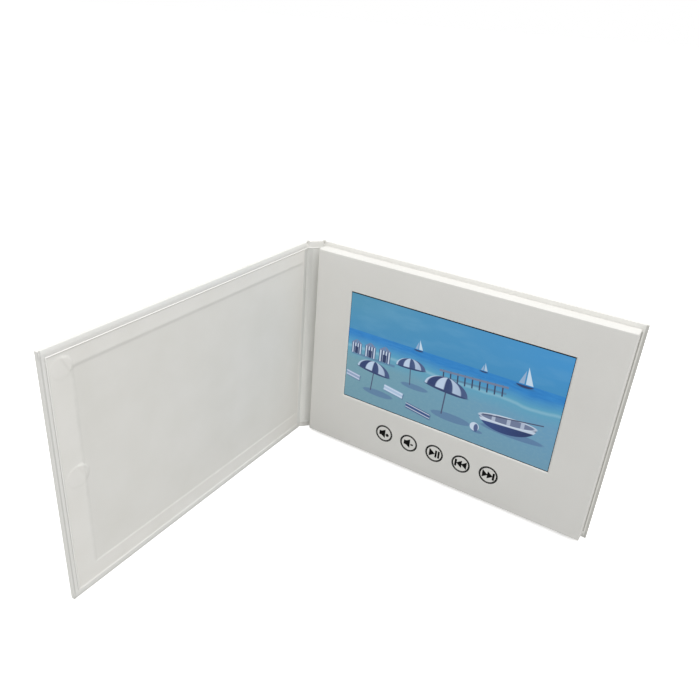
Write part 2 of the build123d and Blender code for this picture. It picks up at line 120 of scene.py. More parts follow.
# ---- case papers ----
PAPER = 0.2
PANEL = BACK_HIGH.y - BACK_LOW.y + PAPER
CASE_HEAD = BACK_HIGH.z
SHEET_TAIL = 4.2
SHEET_HEAD = CASE_HEAD - SHEET_TAIL
SHEET_CELL = 1.5
LIP_EDGE = 0.3
LIP_FOOT = 1.2
LIP_GAP = 0.18
LIP_RISE = 0.42
FLAP_SHORT = 0.1
# the width of the step's slope at the hinge, the fore edge, the tail and the head
STEP_SLOPES = (1.2, 1.8, 0.6, 1.6)
STEP_DEPTH = 0.28
SWELL_RISE = 0.14
SWELL_SKIRT = 1.6
SWELL_TILT = 0.28
# which way a swell stands higher, in Y and Z, and from what share of its radius
SWELL_HIGH_SIDE = (0.9, 0.45, 0.6)
SWELL_CUTS = 3
WAVE_HEIGHT = 0.08
WAVE_SIZE = 30.0

# ---- front cover endpaper: COVER_STEP is two distances from the hinge edge, and two heights ----
COVER_SHEET_X = FRONT_HIGH.x + PAPER
COVER_SHEET_WIDTH = 210.1
COVER_STEP = (3.0, 196.9, 15.0, 140.5)

# ---- spine and creases: the paper at a crease lies OUTER and INNER from the hinge's axis ----
SPINE_WIDTH = 8.9
SPINE_TURN = BACK_CREASE.fold - 90.0
CREASE_GAP = math.dist(BACK_CREASE.axis, FRONT_CREASE.axis) - SPINE_WIDTH
CREASE_OUTER = BACK_HIGH.y - BACK_CREASE.axis.y
CREASE_INNER = PANEL - CREASE_OUTER
CREASE_DIP = 0.9
CHANNEL_DEPTH = 0.45
CREASE_STEPS = 16
CREASE_LAP = 2.2
CREASE_ROOM = 0.5
# how far the endpaper lies off the panels' own sheets: at its laps' ends, and nearer the crease
LAP_LIFTS = (0.004, 0.01)
EAR_CUTS = 3
EAR_RISE = 0.7
EAR_SPREAD = 1.3
EAR_PLACE = 0.8
EAR_REACH = 0.9
NOTCH_AT = 152.2
NOTCH_DIP = 1.2
NOTCH_SPREAD = 1.0
NOTCH_REACH = 0.3

# ---- printed keys: radii of the rings, which leave the slit round the key bare ----
RING_OUTSIDE = 6.7
RING_INSIDE = 5.45
KEY_SLIT = (6.1, 6.18)
RING_SIDES = 96
INK = 0.02

# ---- camera ----
CAMERA_PLACE = (0.13101, -0.38144, 0.29936)
CAMERA_TURN = (63.6318, -3.5044, 32.7771)
CAMERA_LENS = 34.32
CAMERA_SHIFT = (0.0272, -0.0139)

# ---- studio ----
FLOOR_SIZE = 40.0
SKY_LEVEL = 0.8
HORIZON_LEVEL = 1.0
HORIZON_HEIGHT = (0.12, 0.2)
TOP_LIGHT_TURN = (10.5, 20.0, 0.0)
TOP_LIGHT_SPREAD = 60.0
TOP_LIGHT_LEVEL = 1.7
FLOOR_GLOW = 0.7


# ---- helpers for materials ----
# a mix of two colours, whose inputs are 0, the share of the second, 6 and 7
BLEND = {"out": 2, "data_type": "RGBA"}
finishes = {}


def linear(hex_colour):
    """Scene-linear colour of a "#RRGGBB" screen colour."""
    channels = [int(hex_colour[i:i + 2], 16) / 255 for i in (1, 3, 5)]
    return [c / 12.92 if c <= 0.04045 else ((c + 0.055) / 1.055) ** 2.4 for c in channels] + [1.0]


def per(millimetres):
    """Pattern scale, in repeats per metre, of a pattern this many millimetres across."""
    return 1.0 / (millimetres * MM)


def add_node(tree, kind, *values, out=0, **settings):
    """Adds a node and returns its result out, or all its results if out is None. Its kind may end with
    its operation, as "Math.ADD" does. The values are its inputs in order, or one dict of them by name
    or place. A result is linked, a "#RRGGBB" colour is made linear and set, and any other value is
    set."""
    kind, *operation = kind.split(".")
    settings.update({"operation": way for way in operation})
    made = tree.nodes.new("ShaderNode" + kind)
    for name, value in settings.items():
        setattr(made, name, value)
    inputs = values[0] if values and isinstance(values[0], dict) else dict(enumerate(values))
    for name, value in inputs.items():
        if isinstance(value, bpy.types.NodeSocket):
            tree.links.new(value, made.inputs[name])
        else:
            made.inputs[name].default_value = linear(value) if isinstance(value, str) else value
    return made.outputs if out is None else made.outputs[out]


def new_material(name, constants):
    """Starts a finish. Returns add_node for its tree, its shader and object space."""
    finishes[name] = bpy.data.materials.new(name)
    finishes[name].use_nodes = True
    finishes[name].node_tree.nodes.clear()
    node = partial(add_node, finishes[name].node_tree)
    shader = node("BsdfPrincipled", constants)
    node("OutputMaterial", shader, out=None)
    return node, shader, node("TexCoord", out="Object")


def wire(shader, **sockets):
    """Links results to the shader's sockets, which are named with _ for a space."""
    for name, result in sockets.items():
        shader.id_data.links.new(result, shader.node.inputs[name.replace("_", " ")])


# ---- finishes ----
def area(node, space, span, soft, ragged=0.0):
    """1 inside a span of Y and Z in mm, 0 outside it, over a soft and, if asked, ragged edge."""
    axes = node("SeparateXYZ", space, out=None)
    drift = node("MapRange", node("TexNoise", {"Vector": space, "Scale": per(6.0)}), 0.3, 0.7, -ragged * MM,
                 ragged * MM)
    share = 1.0
    for axis, low, high in (("Y", *span[:2]), ("Z", *span[2:])):
        place = node("Math.ADD", axes[axis], drift)
        for edge, way in ((low, 0.5), (high, -0.5)):
            within = node("MapRange", place, (edge - soft) * MM, (edge + soft) * MM, 0.5 - way, 0.5 + way)
            share = node("Math.MULTIPLY", within, share)
    return share


def fore_fold_shade(node, space):
    """Painted shade along the crease of each cover's fore edge: how strongly it darkens the paper, falling
    to 0 beside it.
    """
    axes = node("SeparateXYZ", space, out=None)
    folds = []
    for *bands, share in FORE_FOLD_SHADES:
        for axis, place, full, end in bands:
            away = node("Math.ABSOLUTE", node("Math.SUBTRACT", axes[axis], place * MM))
            within = node("MapRange", away, full * MM, end * MM, 1.0, 0.0)
            share = node("Math.MULTIPLY", share, within)
        folds.append(share)
    return node("Math.MAXIMUM", *folds)


def paper_finish(name, pale, deep, roughness, grain, grain_depth, cloud, coat=0.0, board=None, sheet=None,
                 fold_shade=None):
    """Paper: two close tones in soft clouds, a fibre grain in the relief, and a film where coated.
    Real fibres are some 0.03 mm wide and wouldn't show, so the grain is drawn 0.3 mm and more.
    board is the span where it lies on bare grey board, which shows faintly through. sheet is the
    whole sheet's span, and a painted highlight whitens the paper along its cut edge. fold_shade is
    the colour of the painted shade along the fore-edge folds."""
    node, shader, space = new_material(name, {"Coat Weight": coat, "Coat Roughness": 0.3})
    clouds = node("TexNoise", {"Vector": space, "Scale": per(cloud), "Detail": 4.0})
    fibres = node("TexNoise", {"Vector": space, "Scale": per(grain), "Detail": 3.0, "Roughness": 0.7})
    slow = node("Bump", {"Height": clouds, "Distance": grain_depth * 4 * MM})
    colour = node("Mix", {0: node("MapRange", clouds, 0.3, 0.7), 6: pale, 7: deep}, **BLEND)
    if board:
        shows = node("Math.MULTIPLY", area(node, space, board, BOARD_SOFT, BOARD_RAGGED), BOARD_SHOWING)
        colour = node("Mix", {0: shows, 6: colour, 7: "#8C9086"}, **BLEND)
    # painted highlight: outside the sheet's span, along its cut edge, the paper is whiter
    if sheet:
        colour = node("Mix", {0: area(node, space, sheet, HIGHLIGHT_RIM_SOFT), 6: "#F7F6F3", 7: colour}, **BLEND)
    # painted shade along the fore-edge folds, darkest on each fold
    if fold_shade:
        colour = node("Mix", {0: fore_fold_shade(node, space), 6: colour, 7: fold_shade}, **BLEND)
    wire(shader, Base_Color=colour,
         Roughness=node("MapRange", fibres, 0.2, 0.8, roughness - 0.05, roughness + 0.05),
         Normal=node("Bump", {"Height": fibres, "Distance": grain_depth * MM, "Normal": slow}))


def board_finish(name, pale, deep, speck, grain, depth):
    """Pressed board: mottled pulp, darker specks of printed scrap 0.3 mm across, a felted surface."""
    node, shader, space = new_material(name, {"Roughness": 0.9})
    pulp = node("TexNoise", {"Vector": space, "Scale": per(grain * 4), "Detail": 5.0, "Roughness": 0.65})
    specks = node("MapRange", node("TexNoise", {"Vector": space, "Scale": per(grain), "Detail": 1.0}), 0.64,
                  0.72)
    base = node("Mix", {0: node("MapRange", pulp, 0.3, 0.7), 6: pale, 7: deep}, **BLEND)
    wire(shader, Base_Color=node("Mix", {0: specks, 6: base, 7: speck}, **BLEND),
         Normal=node("Bump", {"Height": pulp, "Distance": depth * MM}))


def plastic_finish(name, colour, shade, roughness, texture, depth):
    """Moulded or extruded plastic: slight flow marks under a fine spark texture, which is drawn
    some 0.2 mm across because the real 0.05 mm wouldn't show."""
    node, shader, space = new_material(name, {"Roughness": roughness})
    flow = node("TexNoise", {"Vector": space, "Scale": per(texture * 20), "Detail": 3.0})
    wire(shader, Base_Color=node("Mix", {0: flow, 6: colour, 7: shade}, **BLEND),
         Normal=node("Bump", {"Height": node("TexNoise", {"Vector": space, "Scale": per(texture)}),
                              "Distance": depth * MM}))


def metal_finish(name, colour, shade, roughness, grain, stretch, depth):
    """Bare metal: marks drawn out along Z by the given stretch, which the gloss follows. Rolling
    lines are 0.05 mm apart, and drawn 0.4 mm and more so that they show."""
    node, shader, space = new_material(name, {"Metallic": 1.0})
    drawn = node("Mapping", {"Vector": space, "Scale": (1.0, 1.0, 1.0 / stretch)})
    marks = node("TexNoise", {"Vector": drawn, "Scale": per(grain), "Detail": 5.0, "Roughness": 0.7})
    wire(shader, Base_Color=node("Mix", {0: marks, 6: colour, 7: shade}, **BLEND),
         Roughness=node("MapRange", marks, 0.3, 0.7, roughness, roughness + 0.15),
         Normal=node("Bump", {"Height": marks, "Distance": depth * MM}))


def striped_finish(name, colour, stripe, pitch, share, roughness, axis, depth):
    """Film or cable with straight conductors: stripes across one axis, raised a little."""
    node, shader, space = new_material(name, {"Roughness": roughness})
    along = node("SeparateXYZ", space, out=axis)
    wave = node("Math.PINGPONG", along, pitch * MM / 2)
    lines = node("MapRange", wave, pitch * MM * share / 2, pitch * MM * (share / 2 + 0.1), 1.0, 0.0)
    tone = node("Mix", {0: node("TexNoise", {"Vector": space, "Scale": per(pitch * 8)}), 6: colour,
                        7: stripe}, **BLEND)
    wire(shader, Base_Color=node("Mix", {0: node("Math.MULTIPLY", lines, 0.8), 6: tone, 7: stripe},
                                 **BLEND), Normal=node("Bump", {"Height": lines, "Distance": depth * MM}))


def board_lacquer_finish():
    """Solder mask: glossy green lacquer over copper tracks, which show lighter and slightly raised."""
    node, shader, space = new_material("solder_mask", {"Roughness": 0.28})
    turned = node("Mapping", {"Vector": space, "Rotation": (math.radians(90), 0, 0)})
    tracks = node("TexBrick", {"Vector": turned, "Scale": per(4.0), "Mortar Size": 0.05,
                               "Mortar Smooth": 0.3}, out="Fac")
    wire(shader, Base_Color=node("Mix", {0: tracks, 6: "#14532B", 7: "#2F7F4A"}, **BLEND),
         Normal=node("Bump", {"Height": tracks, "Distance": 0.03 * MM}))


def pouch_finish():
    """Battery pouch: satin aluminium laminate, dimpled and softly creased by the vacuum."""
    node, shader, space = new_material("pouch_foil", {"Metallic": 0.9})
    folds = node("TexNoise", {"Vector": space, "Scale": per(14.0), "Detail": 3.0})
    dimples = node("TexNoise", {"Vector": space, "Scale": per(1.2), "Detail": 1.0})
    wire(shader, Base_Color=node("Mix", {0: folds, 6: "#B9BCC0", 7: "#A7AAAF"}, **BLEND),
         Roughness=node("MapRange", dimples, 0.3, 0.7, 0.32, 0.45),
         Normal=node("Bump", {"Height": dimples, "Distance": 0.02 * MM,
                              "Normal": node("Bump", {"Height": folds, "Distance": 0.3 * MM})}))


def light_guide_finish():
    """Backlight: milky acrylic whose printed dots, 1 mm apart, show as a fine pale grid."""
    node, shader, space = new_material("light_guide", {"Roughness": 0.35})
    cells = node("TexVoronoi", {"Vector": space, "Scale": per(1.0), "Randomness": 0.0})
    dots = node("MapRange", cells, 0.2, 0.3, 1.0, 0.0)
    wire(shader, Base_Color=node("Mix", {0: dots, 6: "#DDE4E6", 7: "#F6F8F8"}, **BLEND),
         Normal=node("Bump", {"Height": dots, "Distance": 0.01 * MM}))


def ink_finish():
    """Screen-printed ink: a dense black film, slightly uneven where the mesh laid it down. Its
    0.1 mm threads are drawn 0.3 mm apart, so that they just show."""
    node, shader, space = new_material("printed_ink", {"Specular IOR Level": 0.1})
    mesh = node("TexNoise", {"Vector": space, "Scale": per(0.3), "Detail": 1.0})
    wire(shader, Base_Color=node("Mix", {0: mesh, 6: "#050505", 7: "#0B0A0A"}, **BLEND),
         Roughness=node("MapRange", mesh, 0.3, 0.7, 0.45, 0.6),
         Normal=node("Bump", {"Height": mesh, "Distance": 0.004 * MM}))


COVER_BOARD = (FRONT_HIGH.y - COVER_STEP[1], FRONT_HIGH.y - COVER_STEP[0], *COVER_STEP[2:])
HEAD_TO_TAIL = (SHEET_TAIL + LIP_EDGE, SHEET_HEAD - LIP_EDGE)
# the cover sheet's span: along its head, tail and fore edge, outside this span, the paper has a painted
# highlight
COVER_SHEET = (FRONT_HIGH.y - COVER_SHEET_WIDTH + LIP_EDGE, FRONT_HIGH.y + 10.0, *HEAD_TO_TAIL)
HIGHLIGHT_RIM_SOFT = 0.1
BOARD_RAGGED = 0.6
BOARD_SOFT = 0.8
BOARD_SHOWING = 0.08
# each fold's painted shade is two bands, across the cover and through it: their axis, their middle,
# how far from it they are full and where they end. The last number is how strong the painted shade is.
FORE_FOLD_SHADES = ((("X", BACK_HIGH.x - 0.5, 0.6, 1.2), ("Y", BACK_LOW.y, 0.4, 0.9), 1.0),
                (("Y", FRONT_LOW.y + 1.1, 0.25, 0.65), ("X", FRONT_HIGH.x, 0.1, 0.6), 0.75))
# laminated paper: a soft satin film over smooth white paper, with painted shade along the fore-edge folds
paper_finish("laminated_wrap_paper", "#EBEAE6", "#E8E7E2", 0.45, 0.5, 0.004, 30.0, coat=0.2, fold_shade="#C6C5C0")
# uncoated endpaper: matt, with a fibre grain that just breaks up the light, and a painted highlight along
# its head and tail edges
paper_finish("lining_paper", "#E4E4E0", "#E0E0DC", 0.8, 0.4, 0.008, 24.0,
             sheet=(-300.0, 300.0, *HEAD_TO_TAIL))
# the strip of it that shows beside the block: greyer all over, with the block's shade painted into its
# colour
paper_finish("painted_shade_lining_paper", "#B9B8B3", "#AEADA7", 0.85, 0.4, 0.012, 3.0)
# the same paper over the cover: warmer where it lies on paper, greyer over the bare board, with a painted
# highlight along its cut edges
paper_finish("cover_lining_paper", "#ECEAE5", "#E8E6E0", 0.8, 0.4, 0.008, 24.0, board=COVER_BOARD,
             sheet=COVER_SHEET)
# coated ivory card: smoother and a little warmer than the case
paper_finish("white_card", "#E3E2DE", "#E0DFDB", 0.6, 0.5, 0.004, 36.0, coat=0.1)
# pressed speaker paper: dark, dry and felted, its ribs caught by the light
paper_finish("speaker_paper", "#3A3834", "#2C2A28", 0.85, 0.3, 0.02, 5.0)
# bonding sheet: a creamy film with a low sheen
paper_finish("adhesive_sheet", "#E3E0D2", "#D6D2C0", 0.5, 0.8, 0.01, 9.0)
# foam tape: near black, with a dull satin skin
paper_finish("black_tape", "#1B1B1C", "#222223", 0.5, 0.4, 0.006, 12.0)
# pressed waste paper: grey, mottled and flecked, with no gloss
board_finish("greyboard", "#9B958A", "#857F74", "#5D5850", 0.35, 0.03)
# light folding board: off-white pulp with faint flecks
board_finish("filler_board", "#DAD6CB", "#CCC7BA", "#B3AC9B", 0.3, 0.02)
# moulded ABS: black with a fine spark texture that softens its highlights
plastic_finish("moulded_black", "#1D1E20", "#26272A", 0.5, 0.2, 0.006)
# moulded nylon connectors: ivory, smooth and a little waxy
plastic_finish("moulded_ivory", "#E6DFCB", "#DDD5BF", 0.4, 0.25, 0.004)
# fired ceramic: tan and matt, as chip capacitors are
plastic_finish("chip_ceramic", "#A98E6C", "#967A58", 0.45, 0.15, 0.004)
# extruded PVC: smooth red and black sleeves with a soft highlight along them
plastic_finish("red_insulation", "#B3201E", "#9C1A19", 0.4, 0.3, 0.004)
plastic_finish("black_insulation", "#151516", "#202022", 0.4, 0.3, 0.004)
# cold-rolled tinned steel: bright grey with fine rolling lines
metal_finish("pressed_steel", "#B9BBBD", "#A2A5A8", 0.3, 0.4, 12.0, 0.006)
# nickel plate on sintered magnets: near-mirror silver, slightly warm
metal_finish("plated_magnet", "#C6C5C2", "#B2B1AD", 0.18, 0.6, 1.5, 0.004)
# polyimide over copper: glossy amber with the conductors showing as lighter lines
striped_finish("polyimide_film", "#B5651D", "#C9863C", 0.8, 0.5, 0.3, "X", 0.01)
# flat cable: white ribs over tinned wires
striped_finish("ribbon_cable", "#E9E7E0", "#B9BBB8", 1.0, 0.5, 0.4, "Z", 0.04)
# the board's lacquer, the battery's pouch, the backlight and the keys' ink: each has its own
board_lacquer_finish()
pouch_finish()
light_guide_finish()
ink_finish()


# ---- the picture on the screen: its middle in X and Z, half its size, and heights from its middle ----
PICTURE_MIDDLE = (-1.4, 85.6)
PICTURE_HALF = (76.2, 40.7)
COLOUR_TURN_END = 76.0      # how far from the middle the side-to-side change of colour ends
HORIZON = 14.0
EDGE_SOFT = 0.3
SHADOW = "#57759A"


def local(node, place, x, z, half_width, half_height, turn=0.0):
    """Space of one motif: its own middle at 0, its own edges at 1 and -1. Returns X and Z."""
    turned = node("Mapping", {"Vector": place, "Location": (x, 0.0, z),
                              "Rotation": (0.0, math.radians(turn), 0.0),
                              "Scale": (half_width, 1.0, half_height)}, vector_type="TEXTURE")
    across, _, up = node("SeparateXYZ", turned, out=None)
    return across, up


def inside(node, value, soft):
    """1 where value is under 1, falling to 0 over a soft edge."""
    return node("MapRange", value, 1.0 - soft, 1.0 + soft, 1.0, 0.0)


def board(node, place, x, z, width, height, turn=0.0):
    across, up = local(node, place, x, z, width / 2, height / 2, turn)
    sides = inside(node, node("Math.ABSOLUTE", across), EDGE_SOFT / width)
    ends = inside(node, node("Math.ABSOLUTE", up), EDGE_SOFT / height)
    return node("Math.MULTIPLY", sides, ends)


def oval(node, place, x, z, width, height, turn=0.0, half=0):
    """An ellipse, or only its upper half (half=1) or lower half (half=-1)."""
    across, up = local(node, place, x, z, width / 2, height / 2, turn)
    reach = node("Math.ADD", node("Math.MULTIPLY", across, across), node("Math.MULTIPLY", up, up))
    mask = inside(node, reach, 2 * EDGE_SOFT / min(width, height))
    if half:
        edge = EDGE_SOFT / height
        kept = node("MapRange", node("Math.MULTIPLY", up, half), -edge, edge)
        mask = node("Math.MULTIPLY", mask, kept)
    return mask


def sail(node, place, x, z, width, height):
    """A right triangle whose square corner is at x, z. A negative width turns it to the left."""
    across, up = local(node, place, x, z, width, height)
    edge = EDGE_SOFT / height
    slope = node("MapRange", node("Math.ADD", across, up), 1.0 - 2 * edge, 1.0, 1.0, 0.0)
    foot = node("MapRange", up, 0.0, edge)
    mast = node("MapRange", across, 0.0, edge)
    return node("Math.MULTIPLY", slope, node("Math.MULTIPLY", foot, mast))


def picture_finish():
    """Lit panel behind glossy glass: a calm seaside picture that gives off its own light. It is laid
    out in millimetres from its middle."""
    node, shader, space = new_material("screen_glass", {
        "Base Color": "#06070A", "Specular IOR Level": 0.3, "Emission Strength": 1.0})
    place = node("Mapping", {"Vector": space, "Location": (-PICTURE_MIDDLE[0], 0.0, -PICTURE_MIDDLE[1]),
                             "Scale": (per(1.0),) * 3})
    across, _, up = node("SeparateXYZ", place, out=None)
    rightward = node("MapRange", across, -COLOUR_TURN_END, COLOUR_TURN_END)

    def paint(under, mask, colour, strength=1.0):
        if strength != 1.0:
            mask = node("Math.MULTIPLY", mask, strength)
        return node("Mix", {0: mask, 6: under, 7: colour}, **BLEND)

    def streaks(size, flatness, detail=3.0):
        """Noise drawn out sideways by the given flatness."""
        flat = node("Mapping", {"Vector": place, "Scale": (MM, MM, MM * flatness)})
        return node("TexNoise", {"Vector": flat, "Scale": per(size), "Detail": detail})

    def motif(under, x, z, size, *parts):
        """Paints a motif from back to front, at x, z and at its size. A part is its shape, place, width
        and height, its colour and strength, and for some its turn and which half of it is kept."""
        for shape, dx, dz, width, height, colour, strength, *more in parts:
            mask = shape(node, place, x + dx * size, z + dz * size, width * size, height * size, *more)
            under = paint(under, mask, colour, strength)
        return under

    sky = paint("#508FAE", rightward, "#418EC6")
    sky = paint(sky, node("MapRange", up, HORIZON, 34.0, 1.0, 0.0), "#3F87B6", 0.7)
    sky = paint(sky, node("MapRange", streaks(30.0, 3.0), 0.5, 0.75), "#78ADCB", 0.22)

    # sea, shallows and sand, from the horizon down, with foam where they meet
    sea = paint("#2A79BC", node("MapRange", streaks(9.0, 6.0), 0.35, 0.65), "#3283C4")
    wander = node("Math.MULTIPLY", node("Math.SUBTRACT", streaks(40.0, 0.0), 0.5), 8.0)
    shore = node("Math.ADD", up, wander)
    sea = paint(sea, node("MapRange", shore, 1.0, 10.0, 1.0, 0.0), "#5B9DB9")
    sand = paint("#6F99A6", rightward, "#6496B7")
    sand = paint(sand, node("MapRange", up, -40.0, -6.0, 1.0, 0.0), "#6A90A1", 0.6)
    sand = paint(sand, node("MapRange", streaks(2.5, 1.6, detail=4.0), 0.45, 0.7), "#83A7B2", 0.2)
    ground = paint(sea, node("MapRange", shore, -10.0, 1.0, 1.0, 0.0), sand)
    foam = node("Math.MULTIPLY", node("MapRange", shore, -1.6, -0.2),
                node("MapRange", shore, 0.2, 1.8, 1.0, 0.0))
    ground = paint(ground, foam, "#A3C8D6", 0.35)
    view = paint(sky, node("MapRange", up, HORIZON - 0.2, HORIZON + 0.2, 1.0, 0.0), ground)

    for x, z, size, mainsail in ((51.0, 12.4, 1.25, "#BFD3E4"), (24.0, 13.4, 0.62, "#A9C2D8"),
                                 (-22.0, 13.2, 0.75, "#BFD3E4")):
        view = motif(view, x, z, size, (oval, 0, -0.6, 11, 1.6, "#2E6FA4", 0.6),
                     (sail, 0.3, 1.2, 4, 10, mainsail, 1), (sail, -0.4, 1.2, -3, 8, "#8FAAC8", 1),
                     (oval, 0, 0.7, 9, 3, "#2D3E66", 1, 0, -1))

    # jetty: dark posts under a slatted deck that runs out to the left
    view = motif(view, 18.0, 0.0, 1.0, (board, 0, 1.6, 46.0, 1.4, "#56627E", 0.5, -4.0))
    along, height = local(node, place, 18.0, 3.0, 23.0, 4.0, -4.0)
    posts = node("MapRange", node("Math.PINGPONG", along, 0.11), 0.016, 0.026, 1.0, 0.0)
    reach = node("Math.MULTIPLY", inside(node, node("Math.ABSOLUTE", along), 0.01),
                 inside(node, node("Math.ABSOLUTE", height), 0.1))
    view = paint(view, node("Math.MULTIPLY", posts, reach), "#39435F")
    view = motif(view, 18.0, 0.0, 1.0, (board, 0.2, 6.2, 47.0, 1.5, "#6F7C96", 1, -4.0))

    # bathing huts: striped boards under a pitched roof, each with a dark door
    for x, size in ((-69.0, 1.0), (-58.0, 1.06), (-46.5, 1.12)):
        foot = -3.0 - size
        planks = node("Math.PINGPONG", local(node, place, x, foot, size, size)[0], 1.0)
        walls = paint("#33456F", node("MapRange", planks, 0.4, 0.6), "#BCCBDE")
        view = motif(view, x, foot, size, (board, 2, -0.3, 11, 1.6, SHADOW, 0.7),
                     (board, 0, 4, 8, 8, walls, 1), (board, 0, 2.6, 2.6, 5.2, "#2B3A60", 1),
                     (sail, 0, 7.8, -5, 3.6, "#6F7FA0", 1), (sail, 0, 7.8, 5, 3.6, "#6F7FA0", 1))

    # parasols: a pole, a canopy with tapering gores, and a bluish shadow on the sand
    for x, foot, size, dark, lean in ((-54.0, -29.0, 1.0, "#2F3F6B", 5.0),
                                      (-26.0, -14.0, 0.85, "#3D4E78", -4.0),
                                      (1.0, -27.0, 1.2, "#2F3F6B", 3.0)):
        side, height = local(node, place, x, foot + 15 * size, 13 * size, 8 * size, lean)
        rise = node("Math.SUBTRACT", 1.0, node("Math.MULTIPLY", height, height))
        spread = node("Math.SQRT", node("Math.MAXIMUM", rise, 0.01))
        turned = node("Math.ADD", node("Math.DIVIDE", side, spread), 3.1)
        gores = node("MapRange", node("Math.PINGPONG", turned, 0.4), 0.17, 0.23)
        canopy = paint(dark, gores, "#B7C9DF")
        canopy = paint(canopy, node("MapRange", side, -0.2, 1.0), "#5E7398", 0.45)
        view = motif(view, x, foot, size, (oval, 5, -1, 24, 5, SHADOW, 0.75),
                     (board, 0, 11, 0.8, 23, "#4C5670", 1, lean), (oval, 0, 15, 26, 3, "#34436A", 1, lean),
                     (oval, 0, 15, 26, 16, canopy, 1, lean, 1))

    # towels on the sand
    for x, z, width, tone in ((-37.0, -24.0, 15.0, "#A7BCD6"), (-17.0, -32.0, 19.0, "#39507F"),
                              (-70.0, -22.0, 11.0, "#8C9DBB")):
        view = motif(view, x, z, 1.0, (board, 0.8, -0.6, width, 4.4, "#54708F", 0.7, 9.0),
                     (board, 0, 0, width, 4.4, tone, 1, 9.0),
                     (board, 0, -1.3, width, 0.7, "#D4DFEC", 0.7, 9.0),
                     (board, 0, 1.3, width, 0.7, "#D4DFEC", 0.7, 9.0))

    # a dinghy drawn up on the sand: a dark hull with a pale band, its inside, thwarts and oars
    x, z = 45.0, -16.0
    side, height = local(node, place, x, z, 19.0, 9.5, -4.0)
    band = node("Math.MULTIPLY", node("MapRange", height, -0.42, -0.38),
                node("MapRange", height, -0.2, -0.16, 1.0, 0.0))
    hull = paint(paint("#33477A", node("MapRange", side, -0.6, 1.0), "#25345C"), band, "#C3D1E2", 0.9)
    thwarts = [(board, seat, seat * 0.07, 2.4, 4.6, "#A7B3C7", 1) for seat in (-9.0, 1.0, 10.0)]
    view = motif(view, x, z, 1.0, (oval, 4.0, -8.2, 42.0, 5.0, "#56749A", 0.8),
                 (oval, 0, 0, 38.0, 19.0, hull, 1, -4.0, -1), (oval, 0, 0, 38.4, 6.4, "#CBD7E5", 1, -4.0),
                 (oval, 0, 0, 36.0, 5.0, "#6B7793", 1, -4.0), *thwarts,
                 (board, 3.0, 2.6, 40.0, 0.8, "#4A5069", 1, -9.0))

    # a ball beside it
    view = motif(view, 24.5, -28.0, 1.0, (oval, 2.0, -3.0, 8.0, 2.4, SHADOW, 0.8),
                 (oval, 0, 0, 6.4, 6.4, "#BFCEE0", 1), (oval, 1.1, -0.6, 3.0, 6.0, "#34487A", 0.9))

    rims = [inside(node, node("Math.DIVIDE", node("Math.ABSOLUTE", value), half), soft)
            for value, half, soft in ((across, PICTURE_HALF[0], 0.001), (up, PICTURE_HALF[1], 0.002))]
    smears = node("TexNoise", {"Vector": space, "Scale": per(30.0), "Detail": 3.0})
    wire(shader, Emission_Color=paint("#0A0B10", node("Math.MULTIPLY", *rims), view),
         Roughness=node("MapRange", smears, 0.3, 0.7, 0.1, 0.16))


picture_finish()

for row in frame["record"]["subparts"]:
    for slot in frame["nodes"][row["node"]].material_slots:
        slot.material = finishes[row["material_slot"]]
# the back lining shows only as a strip beside the block, so it takes the paper with painted shade
for slot in frame["nodes"]["back_lining"].material_slots:
    slot.material = finishes["painted_shade_lining_paper"]


# ---- helpers for shaping ----
UPRIGHT = (math.radians(90), 0, 0)
SIDEWAYS = (0, math.radians(90), 0)


def mm(x, y, z):
    return Vector((x, y, z)) * MM


def near(value, line):
    return abs(value - line) < CLOSE


def select(*pieces):
    """Selects these pieces and nothing else. The first of them is the active one."""
    bpy.ops.object.select_all(action="DESELECT")
    for piece in pieces:
        piece.select_set(True)
    if pieces:
        bpy.context.view_layer.objects.active = pieces[0]


def select_mesh():
    """Selects the whole of the piece that is being edited."""
    bpy.ops.mesh.select_all(action="SELECT")


def leave_edit():
    bpy.ops.object.mode_set(mode="OBJECT")


def begin(name, add, stretch=(1, 1, 1), **settings):
    """Adds a primitive at its place with nothing else selected, and opens it for editing."""
    select()
    add(**settings)
    piece = bpy.context.object
    piece.name = name
    piece.scale = stretch
    bpy.ops.object.transform_apply(location=True, rotation=True, scale=True)
    bpy.ops.object.mode_set(mode="EDIT")
    select_mesh()
    return piece


def plate(name, place, width, height, rotation=(0, 0, 0)):
    """Begins a flat piece, width by height about its place: lying down, or turned up."""
    return begin(name, bpy.ops.mesh.primitive_plane_add, size=1.0, location=mm(*place), rotation=rotation,
                 stretch=(width * MM, height * MM, 1))


def pick(kind, test):
    """Selects the points, edges or faces whose middle, in millimetres, passes the test."""
    bpy.ops.mesh.select_mode(type=kind)
    bpy.ops.mesh.select_all(action="DESELECT")
    mesh = bpy.context.object.data
    shape = bmesh.from_edit_mesh(mesh)
    for part in {"VERT": shape.verts, "EDGE": shape.edges, "FACE": shape.faces}[kind]:
        middle = part.co if kind == "VERT" else sum((v.co for v in part.verts), Vector()) / len(part.verts)
        if test(middle / MM):
            part.select_set(True)
    shape.select_flush_mode()
    bmesh.update_edit_mesh(mesh)


def move(x, y, z, spread=0.0):
    """Moves what is selected, and softly what lies within spread of it."""
    soft = {"use_proportional_edit": True, "proportional_edit_falloff": "SMOOTH",
            "proportional_size": spread * MM} if spread else {}
    bpy.ops.transform.translate(value=mm(x, y, z), **soft)


def cut(place, normal):
    """Cuts the whole piece along a plane, so that a row of points lies there."""
    select_mesh()
    bpy.ops.mesh.bisect(plane_co=mm(*place), plane_no=normal)


def extrude_edges(x, y, z):
    bpy.ops.mesh.extrude_edges_move(TRANSFORM_OT_translate={"value": mm(x, y, z)})


def thicken(x, y, z):
    """Gives flat print or card its thickness. The face it started from is the hidden one."""
    select_mesh()
    bpy.ops.mesh.extrude_region_move(TRANSFORM_OT_translate={"value": mm(x, y, z)})


